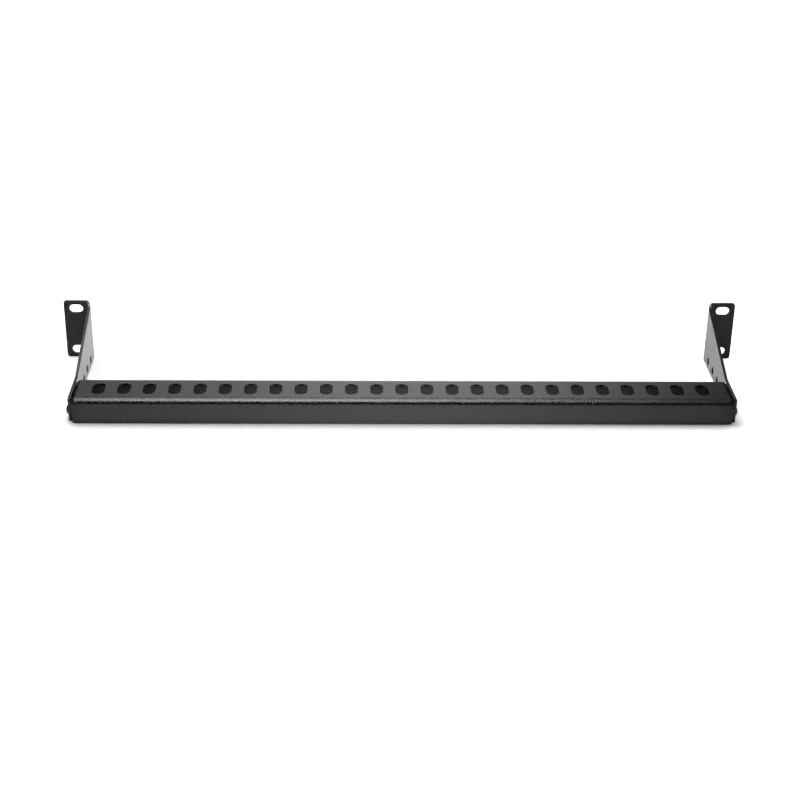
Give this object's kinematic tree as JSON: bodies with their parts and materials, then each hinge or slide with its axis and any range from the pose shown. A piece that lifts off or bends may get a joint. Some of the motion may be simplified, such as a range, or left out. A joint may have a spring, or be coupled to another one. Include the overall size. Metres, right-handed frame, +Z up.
{
  "type": "cable lacing bar",
  "caption": "Slotted steel bar on folded brackets that bolt to a 19-inch rack; cables lie on it and are tied down through its slots.",
  "frame": {"origin": "middle of the four ear slots, on the ears' rear face", "axes": "+X across the rack to the right, +Y into the rack, +Z up"},
  "size_m": [0.4826, 0.107, 0.0442],
  "materials": {
    "powder_coat": "black powder coat with a fine grain, half matt",
    "screw_black": "black oxide steel, satin",
    "nut_zinc": "bright zinc plate"
  },
  "bodies": {
    "root": {"lacing_bar": "powder_coat", "left_arm": "powder_coat", "screw_left_front": "screw_black", "nut_left_front": "nut_zinc", "screw_left_rear": "screw_black", "nut_left_rear": "nut_zinc", "right_arm": "powder_coat", "screw_right_front": "screw_black", "nut_right_front": "nut_zinc", "screw_right_rear": "screw_black", "nut_right_rear": "nut_zinc"}
  },
  "joints": []
}
